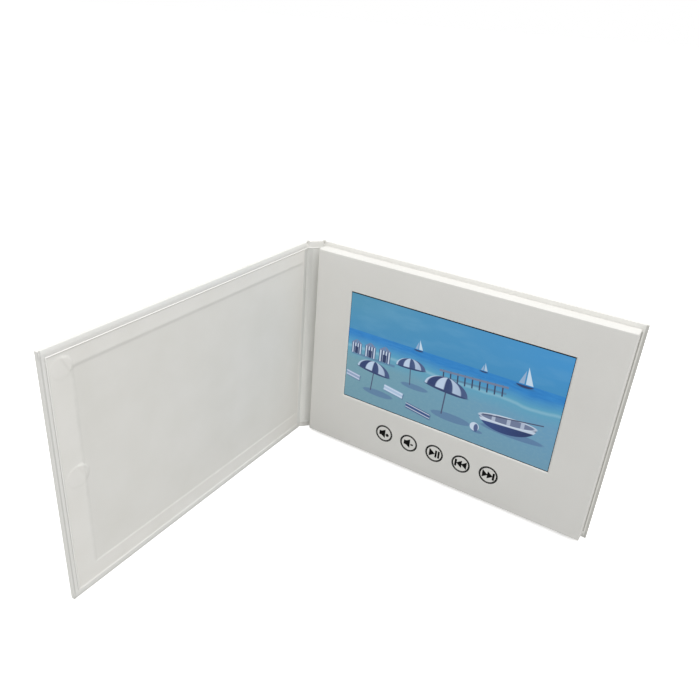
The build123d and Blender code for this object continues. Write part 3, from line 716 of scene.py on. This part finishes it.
def close_edit():
    select_mesh()
    bpy.ops.mesh.normals_make_consistent(inside=False)
    leave_edit()


def apply_modifier(piece, kind, **settings):
    modifier = piece.modifiers.new(kind.lower(), kind)
    for name, value in settings.items():
        setattr(modifier, name, value)
    bpy.context.view_layer.objects.active = piece
    bpy.ops.object.modifier_apply(modifier=modifier.name)


def turn_faces(x, y):
    """Turns an open sheet so that its faces look towards x, y."""
    select_mesh()
    shape = bmesh.from_edit_mesh(bpy.context.object.data)
    shape.normal_update()
    if sum((f.normal for f in shape.faces), Vector()).dot(Vector((x, y, 0))) < 0:
        bpy.ops.mesh.flip_normals()


def dress(piece, finish, body=None, angle=35.0):
    """Gives a finished piece its shading, its finish and the body it rides on."""
    select(piece)
    bpy.ops.object.shade_smooth_by_angle(angle=math.radians(angle))
    piece.data.materials.clear()
    piece.data.materials.append(finishes[finish])
    if body:
        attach(piece, body)


def join(pieces, name):
    select(*pieces)
    bpy.ops.object.join()
    pieces[0].name = name
    return pieces[0]


# ---- endpapers on the front cover and the spine ----
HEAD_AND_TAIL = [((0, 0, SHEET_HEAD), (0, 0, 1)), ((0, 0, SHEET_TAIL), (0, 0, -1))]


def lips(edges, rise, where=lambda p: True):
    """A pasted sheet's free edges: a ridge just inside each, and the edge itself standing a little
    free. Each edge is a point on it and the way out across it. where tells which points may rise."""
    edges = [(Vector(place), Vector(outward)) for place, outward in edges]
    for place, outward in edges:
        for inset in (LIP_EDGE, LIP_FOOT):
            cut(place - outward * inset, outward)

    def inset_of(p):
        return min((place - p).dot(outward) for place, outward in edges)

    # the edge and its ridge rise together, and then the ridge alone
    for nearest, lift in ((-1.0, LIP_GAP), (CLOSE, LIP_RISE - LIP_GAP)):
        pick("VERT", lambda p: nearest < inset_of(p) < LIP_EDGE + CLOSE and where(p))
        move(*(Vector(rise) * lift))


def sheet(name, width, middle, turn, flaps, step=None, swells=()):
    """A pasted endpaper, made flat with its face towards +X and then put in its place.
    flaps are the sides, +1 or -1 in Y, where it folds down a hinge edge. step is where it drops
    off the turned-in wrap onto the bare board, and swells are the magnets it is stretched over."""
    rise = SHEET_HEAD - SHEET_TAIL
    half = width / 2
    piece = begin(name, bpy.ops.mesh.primitive_grid_add, x_subdivisions=round(rise / SHEET_CELL),
                  y_subdivisions=max(4, round(width / SHEET_CELL)), size=1.0,
                  location=mm(0, 0, (SHEET_HEAD + SHEET_TAIL) / 2),
                  rotation=SIDEWAYS, stretch=(rise * MM, width * MM, 1))
    turn_faces(1, 0)
    if step:
        hinge, fore, tail, head = STEP_SLOPES
        for y, way, slope in ((half - step[0], -1, hinge), (half - step[1], 1, fore)):
            cut((0, y, 0), (0, 1, 0))
            cut((0, y + way * slope, 0), (0, 1, 0))
        for z, way, slope in ((step[2], 1, tail), (step[3], -1, head)):
            cut((0, 0, z), (0, 0, 1))
            cut((0, 0, z + way * slope), (0, 0, 1))

        def depth(p):
            """0 on the step's outer line and outside it, 1 where it has dropped all the way."""
            return min((half - p.y - step[0]) / hinge, (step[1] - half + p.y) / fore,
                       (p.z - step[2]) / tail, (step[3] - p.z) / head)

        pick("VERT", lambda p: depth(p) > 1 - CLOSE)
        move(-STEP_DEPTH, 0, 0)
        pick("VERT", lambda p: CLOSE < depth(p) < 1 - CLOSE)
        move(-STEP_DEPTH / 2, 0, 0)
    along, up, share = SWELL_HIGH_SIDE
    for y, z, radius in swells:
        pick("FACE", lambda p: math.hypot(p.y - y, p.z - z) < radius + SWELL_SKIRT)
        bpy.ops.mesh.subdivide(number_cuts=SWELL_CUTS)
        pick("VERT", lambda p: math.hypot(p.y - y, p.z - z) < radius)
        move(SWELL_RISE, 0, 0, spread=SWELL_SKIRT)
        pick("VERT", lambda p: math.hypot(p.y - y, p.z - z) < radius
             and along * (p.y - y) + up * (p.z - z) > radius * share)
        move(SWELL_TILT, 0, 0, spread=SWELL_SKIRT)
    free_sides = [((0, side * half, 0), (0, side, 0)) for side in (-1, 1) if side not in flaps]
    lips(HEAD_AND_TAIL + free_sides, (1, 0, 0),
         where=lambda p: all(abs(p.y - side * half) > CREASE_ROOM for side in flaps))
    if step:
        pick("VERT", lambda p: p.y < half - step[0])
        free = piece.vertex_groups.new(name="free_of_the_crease")
        bpy.ops.object.vertex_group_assign()
    for side in flaps:
        pick("EDGE", lambda p: near(p.y, side * half))
        extrude_edges(PAPER + FLAP_SHORT - PANEL, 0, 0)
    leave_edit()
    if step:
        waves = bpy.data.textures.new(name + "_waves", "CLOUDS")
        waves.noise_scale = WAVE_SIZE * MM
        apply_modifier(piece, "DISPLACE", texture=waves, strength=WAVE_HEIGHT * MM, direction="X",
                       mid_level=0.5, vertex_group=free.name)
    apply_modifier(piece, "SOLIDIFY", thickness=PAPER * MM, offset=-1.0)
    piece.rotation_euler = (0, 0, math.radians(turn))
    piece.location = mm(middle[0], middle[1], 0)
    bpy.ops.object.transform_apply(location=True, rotation=True, scale=True)
    return piece


cover_middle = (COVER_SHEET_X, FRONT_HIGH.y - COVER_SHEET_WIDTH / 2)
swells = [(y - cover_middle[1], z, radius) for y, z, radius in COVER_MAGNETS]
cover_endpaper = sheet("front_cover_endpaper", COVER_SHEET_WIDTH, cover_middle, 0.0, (1,),
                       step=COVER_STEP, swells=swells)
dress(cover_endpaper, "cover_lining_paper", "front_cover")
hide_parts("front_lining")

spine_inward = Matrix.Rotation(math.radians(SPINE_TURN), 2) @ Vector((CREASE_INNER, 0))
spine_middle = (Vector(BACK_CREASE.axis[:2]) + Vector(FRONT_CREASE.axis[:2])) / 2 + spine_inward
spine_endpaper = sheet("spine_endpaper", SPINE_WIDTH, spine_middle, SPINE_TURN, (-1, 1))
dress(spine_endpaper, "lining_paper", "spine")
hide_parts("spine_lining")


# ---- creases ----
def crease_point(crease, across, inward):
    """(x, y) of a point across a crease, towards its moving side, and inward from its axis."""
    turn = math.radians(crease.still + 270 + crease.fold / 2)
    x, y, _ = crease.axis
    return (x + inward * math.cos(turn) + across * math.sin(turn),
            y + inward * math.sin(turn) - across * math.cos(turn))


def panel_point(crease, side, along, inner):
    """Across and inward place of a point on a panel: side is -1 on the still one, 1 on the moving one."""
    half = math.radians(crease.fold / 2)
    return (side * (along * math.cos(half) - inner * math.sin(half)),
            inner * math.cos(half) + along * math.sin(half))


def valley(crease, inner):
    """The paper's dip between two panels, from the still edge to the moving one."""
    edge, top = panel_point(crease, 1, CREASE_GAP / 2, inner)
    lead = edge * math.tan(math.radians(crease.fold / 2)) / 2
    places = []
    for step in range(CREASE_STEPS + 1):
        share = 2 * step / CREASE_STEPS - 1
        bell = (1 + math.cos(math.pi * share)) / 2
        places.append((edge * share, top - lead * (1 - share * share) - (CREASE_DIP - lead) * bell))
    return places


def outer_channel(crease):
    """The outside of the case at the fold: drawn taut from edge to edge and pressed into the gap."""
    edge, top = panel_point(crease, 1, CREASE_GAP / 2, -CREASE_OUTER)
    shares = [2 * step / CREASE_STEPS - 1 for step in range(CREASE_STEPS + 1)]
    return [(edge * share, top + CHANNEL_DEPTH * (1 + math.cos(math.pi * share)) / 2) for share in shares]


def ribbon(name, path, low, high):
    """An upright strip of paper, drawn by taking one upright edge along a path of (x, y) points."""
    (x, y), rise = path[0], high - low
    piece = plate(name, (x + rise / 2, y, low + rise / 2), rise, rise, UPRIGHT)
    pick("VERT", lambda p: p.x > x + rise / 2)
    bpy.ops.mesh.delete(type="VERT")
    select_mesh()
    for (x0, y0), (x1, y1) in zip(path, path[1:]):
        extrude_edges(x1 - x0, y1 - y0, 0)
    return piece


def bend(piece):
    """Bakes a piece's place into its mesh. It is not bent."""
    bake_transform(piece)


def crease_wrap(hinge, crease):
    """The wrap and its turned-in ends at a crease: a closed section with a pinched ear at the head."""
    outside = ribbon(hinge + "_outside", [crease_point(crease, *p) for p in outer_channel(crease)], 0,
                     CASE_HEAD)
    leave_edit()
    dip = [crease_point(crease, *p) for p in valley(crease, CREASE_INNER - PAPER)]
    within = ribbon(hinge + "_inside", dip, 0, CASE_HEAD)
    for height in (SHEET_HEAD, NOTCH_AT - NOTCH_SPREAD, NOTCH_AT, NOTCH_AT + NOTCH_SPREAD):
        cut((0, 0, height), (0, 0, 1))
    leave_edit()
    piece = join([outside, within], hinge.replace("hinge", "crease_wrap"))
    bpy.ops.object.mode_set(mode="EDIT")
    pick("EDGE", lambda p: near(p.z, CASE_HEAD))
    bpy.ops.mesh.bridge_edge_loops(number_cuts=EAR_CUTS, interpolation="LINEAR")
    pick("EDGE", lambda p: near(p.z, 0))
    bpy.ops.mesh.bridge_edge_loops()
    bpy.ops.mesh.select_mode(type="EDGE")
    bpy.ops.mesh.select_all(action="DESELECT")
    bpy.ops.mesh.select_non_manifold(use_wire=False, use_multi_face=False, use_non_contiguous=False,
                                     use_verts=False)
    bpy.ops.mesh.fill_holes(sides=0)
    ear = Vector((*crease_point(crease, 0, EAR_PLACE), CASE_HEAD))
    pick("VERT", lambda p: near(p.z, CASE_HEAD) and (p - ear).length < EAR_REACH)
    move(0, 0, EAR_RISE, spread=EAR_SPREAD)
    notch = Vector((*dip[CREASE_STEPS // 2], NOTCH_AT))
    pick("VERT", lambda p: (p - notch).length < NOTCH_REACH)
    push = Vector(crease_point(crease, 0, -NOTCH_DIP)) - Vector(crease_point(crease, 0, 0))
    move(*push, 0, spread=NOTCH_SPREAD)
    close_edit()
    dress(piece, "laminated_wrap_paper")
    bend(piece)
    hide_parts(hinge + "_strip")


def crease_endpaper(hinge, crease):
    """The endpaper where it rolls over both panel edges and dips into the crease."""
    laps = [(CREASE_GAP / 2 + CREASE_LAP, LAP_LIFTS[0]), (CREASE_GAP / 2 + CREASE_LAP / 2, LAP_LIFTS[1])]
    still = [panel_point(crease, -1, along, CREASE_INNER + lift) for along, lift in laps]
    moving = [panel_point(crease, 1, along, CREASE_INNER + lift) for along, lift in reversed(laps)]
    dip = valley(crease, CREASE_INNER + LAP_LIFTS[1])
    path = [crease_point(crease, *p) for p in still + dip + moving]
    piece = ribbon(hinge.replace("hinge", "crease_endpaper"), path, SHEET_TAIL, SHEET_HEAD)
    inward = Vector(crease_point(crease, 0, 1)) - Vector(crease_point(crease, 0, 0))
    turn_faces(*inward)
    lips(HEAD_AND_TAIL, (*inward, 0))
    leave_edit()
    apply_modifier(piece, "SOLIDIFY", thickness=PAPER * MM, offset=-1.0)
    dress(piece, "lining_paper")
    bend(piece)


for hinge, crease in CREASES.items():
    crease_wrap(hinge, crease)
    crease_endpaper(hinge, crease)


# ---- the block's folded card, and the laps of paper at its corners and the covers' corners ----
FOLD_ROUND = 0.45
# how much of the screen's tape the card hides on each side, and how far round the window to look
TAPE_HIDDEN = 4.0
WINDOW_REACH = 2.0
CUT_SLOPE = 0.8
TAB_WIDTH = (2.3, 0.8)
TAB_INSET = 0.1
TAB_LIFT = 0.12
FLAP_WIDTH = 2.9
FLAP_MARGIN = 0.2
FLAP_LIFT = 0.16
FLAP_CUTS_ALONG = (1.0, 2.0, 3.0, 5.0, 8.0)
FLAP_CUTS_ACROSS = (1.0, 2.0, 3.0)
PUCKER = 0.25
# a pucker's distance from the strip's outer edge and from its end, give or take its reach
PUCKER_PLACE = (2.0, 3.0)
PUCKER_REACH = 0.1
PUCKER_SPREAD = 1.9
TURN_IN_WIDTH = 4.6
TURN_IN_LIFT = 0.05
TURN_IN_SUNK = 0.02
TURN_IN_CUTS = (-0.9, -0.7, -0.45, -0.15, 0.15, 0.45, 0.7, 0.9)
TURN_IN_ARCH = 0.08


def folded_card():
    """The block's card, with the cut edge of its window pressed soft at both sides and the foot."""
    source = frame["nodes"]["face_card"]
    piece = bpy.data.objects.new("block_card", source.data.copy())
    bpy.context.collection.objects.link(piece)
    select(piece)
    bpy.ops.mesh.customdata_custom_splitnormals_clear()
    bpy.ops.object.mode_set(mode="EDIT")
    select_mesh()
    bpy.ops.mesh.remove_doubles(threshold=0.001 * MM)
    bpy.ops.mesh.dissolve_limited(angle_limit=math.radians(1))
    left, right = TAPE_LOW.x + TAPE_HIDDEN, TAPE_HIGH.x - TAPE_HIDDEN
    low, high = TAPE_LOW.z + TAPE_HIDDEN, TAPE_HIGH.z - TAPE_HIDDEN

    def at_window(p):
        return (near(p.y, CARD_LOW.y) and low - WINDOW_REACH < p.z < high + WINDOW_REACH
                and left - WINDOW_REACH < p.x < right + WINDOW_REACH)

    pick("VERT", lambda p: at_window(p) and near(p.x, left))
    move(-CUT_SLOPE, 0, 0)
    pick("VERT", lambda p: at_window(p) and near(p.x, right))
    move(CUT_SLOPE, 0, 0)
    pick("VERT", lambda p: at_window(p) and near(p.z, low))
    move(0, 0, -CUT_SLOPE)
    leave_edit()
    dress(piece, "white_card", "display_side", angle=20.0)
    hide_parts("face_card")


def corner_tab(name, side, end):
    """A glue tab that laps over the block's head or tail wall at one corner, with a slanted end."""
    x = CARD_HIGH.x if side > 0 else CARD_LOW.x
    z = CARD_HIGH.z if end > 0 else CARD_LOW.z
    middle = (CARD_LOW.y + CARD_HIGH.y) / 2
    depth = CARD_HIGH.y - CARD_LOW.y - 2 * FOLD_ROUND
    wide, slim = TAB_WIDTH
    piece = plate(name, (x - side * (wide / 2 + TAB_INSET), middle, z), wide, depth)
    pick("VERT", lambda p: (x - p.x) * side > wide / 2 and p.y > middle)
    move(side * (wide - slim), 0, 0)
    thicken(0, 0, end * TAB_LIFT)
    close_edit()
    dress(piece, "white_card", "display_side")


def turn_in(name, end):
    """The front cover's turned-in wrap at its head or tail: a strip that swells a little."""
    wide = TURN_IN_WIDTH
    long = FRONT_HIGH.y - FRONT_LOW.y - 2 * FLAP_MARGIN
    middle = CASE_HEAD / 2 + end * (CASE_HEAD / 2 - FLAP_MARGIN - wide / 2)
    piece = plate(name, (FRONT_HIGH.x - TURN_IN_SUNK, (FRONT_HIGH.y + FRONT_LOW.y) / 2, middle),
                  wide, long, SIDEWAYS)
    thicken(TURN_IN_LIFT, 0, 0)
    for at in TURN_IN_CUTS:
        cut((0, 0, middle + at * wide / 2), (0, 0, 1))
    for reach in TURN_IN_CUTS[len(TURN_IN_CUTS) // 2:]:
        pick("VERT", lambda p: p.x > FRONT_HIGH.x and abs(p.z - middle) < reach * wide / 2 + CLOSE)
        move(TURN_IN_ARCH, 0, 0)
    close_edit()
    dress(piece, "laminated_wrap_paper", "front_cover")


def fore_flap(name, body, front):
    """The fore-edge turn-in: a strip whose mitred ends lap over the head and tail turn-ins, with a
    pucker near each. On the front cover it lies across Y and faces +X, on the back across X."""
    tall = CASE_HEAD - 2 * FLAP_MARGIN
    inset = FLAP_MARGIN + FLAP_WIDTH / 2
    if front:
        middle = Vector((FRONT_HIGH.x, FRONT_LOW.y + inset, CASE_HEAD / 2))
        out, inward = Vector((1, 0, 0)), Vector((0, 1, 0))
        piece = plate(name, middle, tall, FLAP_WIDTH, SIDEWAYS)
    else:
        middle = Vector((BACK_HIGH.x - inset, BACK_LOW.y, CASE_HEAD / 2))
        out, inward = Vector((0, -1, 0)), Vector((-1, 0, 0))
        piece = plate(name, middle, FLAP_WIDTH, tall, UPRIGHT)

    def across(p):
        """How far a point lies from the strip's outer edge."""
        return (p - middle).dot(inward) + FLAP_WIDTH / 2

    def along(p, end):
        """How far a point lies from the strip's head, end 1, or its tail, end -1."""
        return tall / 2 - (p.z - middle.z) * end

    for end in (-1, 1):
        pick("VERT", lambda p: across(p) > FLAP_WIDTH / 2 and along(p, end) < tall / 2)
        move(0, 0, -end * FLAP_WIDTH)
    thicken(*(out * FLAP_LIFT))
    for end in (-1, 1):
        for at in FLAP_CUTS_ALONG:
            cut((0, 0, middle.z + end * (tall / 2 - at)), (0, 0, 1))
    for at in FLAP_CUTS_ACROSS:
        cut(middle + inward * (at - FLAP_WIDTH / 2), [abs(way) for way in inward])
    for end in (-1, 1):
        pick("VERT", lambda p: near((p - middle).dot(out), FLAP_LIFT)
             and abs(across(p) - PUCKER_PLACE[0]) < PUCKER_REACH
             and abs(along(p, end) - PUCKER_PLACE[1]) < PUCKER_REACH)
        move(*(out * PUCKER), spread=PUCKER_SPREAD)
    close_edit()
    dress(piece, "laminated_wrap_paper", body)


folded_card()
for end, end_name in ((1, "head"), (-1, "tail")):
    for side, side_name in ((1, "right"), (-1, "left")):
        corner_tab("block_tab_" + end_name + "_" + side_name, side, end)
turn_in("front_head_turn_in", 1)
turn_in("front_tail_turn_in", -1)
fore_flap("front_fore_flap", "front_cover", True)
fore_flap("back_fore_flap", "display_side", False)


# ---- printed rings and icons ----
def printed(piece):
    """Gives a flat shape on the card the ink's thickness."""
    thicken(0, -INK, 0)
    close_edit()
    return piece


def ring(name, x, z, outside, within):
    """One printed ring: a disc inset, and its middle taken out."""
    piece = begin(name, bpy.ops.mesh.primitive_circle_add, vertices=RING_SIDES, radius=outside * MM,
                  fill_type="NGON", location=mm(x, CARD_LOW.y, z), rotation=UPRIGHT)
    bpy.ops.mesh.inset(thickness=(outside - within) * MM)
    bpy.ops.mesh.delete(type="FACE")
    return printed(piece)


def bar(x, z, width, height):
    """A printed bar with its middle at x, z."""
    return printed(plate("bar", (x, CARD_LOW.y, z), width, height, UPRIGHT))


def arrow(x, z, width, height):
    """A printed triangle whose tip is width to the side of x: a bar with one side drawn to a point."""
    piece = plate("arrow", (x + width / 2, CARD_LOW.y, z), abs(width), height, UPRIGHT)
    pick("VERT", lambda p: (p.x - x) / width > 0.5)
    bpy.ops.mesh.merge(type="CENTER")
    return printed(piece)


def loudspeaker(x, z, width, height, cone, flare):
    """A printed loudspeaker: a small box whose right side, at x, is drawn out into a flared cone."""
    piece = plate("loudspeaker", (x - width / 2, CARD_LOW.y, z), width, height, UPRIGHT)
    pick("EDGE", lambda p: near(p.x, x))
    extrude_edges(cone, 0, 0)
    for side in (-1, 1):
        pick("VERT", lambda p: near(p.x, x + cone) and (p.z - z) * side > 0)
        move(0, 0, flare * side)
    return printed(piece)


# each shape, where it is from the middle of its key, and its sizes
LOUDSPEAKER = (loudspeaker, -2.0, 0, 1.8, 3.4, 2.9, 1.9)
ICONS = {"volume_up": (LOUDSPEAKER, (bar, 2.6, -0.6, 2.6, 1.2), (bar, 2.6, -0.6, 1.2, 2.6)),
         "volume_down": (LOUDSPEAKER, (bar, 2.5, -0.5, 2.0, 1.2)),
         "play_pause": ((arrow, -3.8, 0, 4.4, 6.4), (bar, 1.3, 0, 1.4, 5.8), (bar, 3.4, 0, 1.4, 5.8)),
         "previous": ((bar, -3.7, 0, 1.5, 5.6), (arrow, 4.3, 0, -4.0, 6.0), (arrow, 0.7, 0, -4.0, 6.0)),
         "next": ((bar, 3.7, 0, 1.5, 5.6), (arrow, -4.3, 0, 4.0, 6.0), (arrow, -0.7, 0, 4.0, 6.0))}

for name, icon in ICONS.items():
    key_low, key_high = box(name + "_key")
    x, z = (key_low.x + key_high.x) / 2, (key_low.z + key_high.z) / 2
    dress(ring(name + "_card_ring", x, z, RING_OUTSIDE, KEY_SLIT[1]), "printed_ink", "display_side")
    pieces = [ring(name + "_key_ring", x, z, KEY_SLIT[0], RING_INSIDE)]
    pieces += [shape(x + dx, z + dz, *sizes) for shape, dx, dz, *sizes in icon]
    dress(join(pieces, name + "_key_print"), "printed_ink", name)


# ---- camera, light and floor ----
def make_camera():
    data = bpy.data.cameras.new("camera")
    data.lens = CAMERA_LENS
    data.shift_x, data.shift_y = CAMERA_SHIFT
    data.clip_end = FLOOR_SIZE * 2
    camera = bpy.data.objects.new("camera", data)
    camera.location = CAMERA_PLACE
    camera.rotation_euler = [math.radians(a) for a in CAMERA_TURN]
    bpy.context.collection.objects.link(camera)
    bpy.context.scene.camera = camera


def make_studio():
    """A pale floor, one broad light from above and an even sky, white at the horizon."""
    select()
    bpy.ops.mesh.primitive_plane_add(size=FLOOR_SIZE)
    floor = bpy.context.object
    floor.name = "studio_floor"
    node, shader, space = new_material("studio_floor", {"Roughness": 0.9, "Specular IOR Level": 0.1})
    seen = node("Mix", {0: node("TexNoise", {"Vector": space, "Scale": per(400.0)}), 6: "#F3F3F2",
                        7: "#F5F5F4"}, **BLEND)
    direct = node("LightPath", out="Is Camera Ray")
    wire(shader, Base_Color=node("Mix", {0: direct, 6: "#A6A6A5", 7: seen}, **BLEND), Emission_Color=seen,
         Emission_Strength=node("Math.MULTIPLY", direct, FLOOR_GLOW))
    finishes["studio_floor"].cycles.emission_sampling = "NONE"
    floor.data.materials.append(finishes["studio_floor"])
    light = bpy.data.lights.new("top_light", "SUN")
    light.energy = TOP_LIGHT_LEVEL
    light.angle = math.radians(TOP_LIGHT_SPREAD)
    lamp = bpy.data.objects.new("top_light", light)
    lamp.rotation_euler = [math.radians(a) for a in TOP_LIGHT_TURN]
    bpy.context.collection.objects.link(lamp)
    world = bpy.data.worlds.new("studio")
    bpy.context.scene.world = world
    world.use_nodes = True
    world.node_tree.nodes.clear()
    node = partial(add_node, world.node_tree)
    direction = node("TexCoord", out="Generated")
    height = node("SeparateXYZ", direction, out="Z")
    level = node("MapRange", height, *HORIZON_HEIGHT, HORIZON_LEVEL, SKY_LEVEL)
    direct = node("LightPath", out="Is Camera Ray")
    sky = node("Background", "#FFFFFF", node("Math.MAXIMUM", level, direct))
    node("OutputWorld", sky, out=None)


make_camera()
make_studio()
bpy.context.scene.view_settings.view_transform = "Standard"
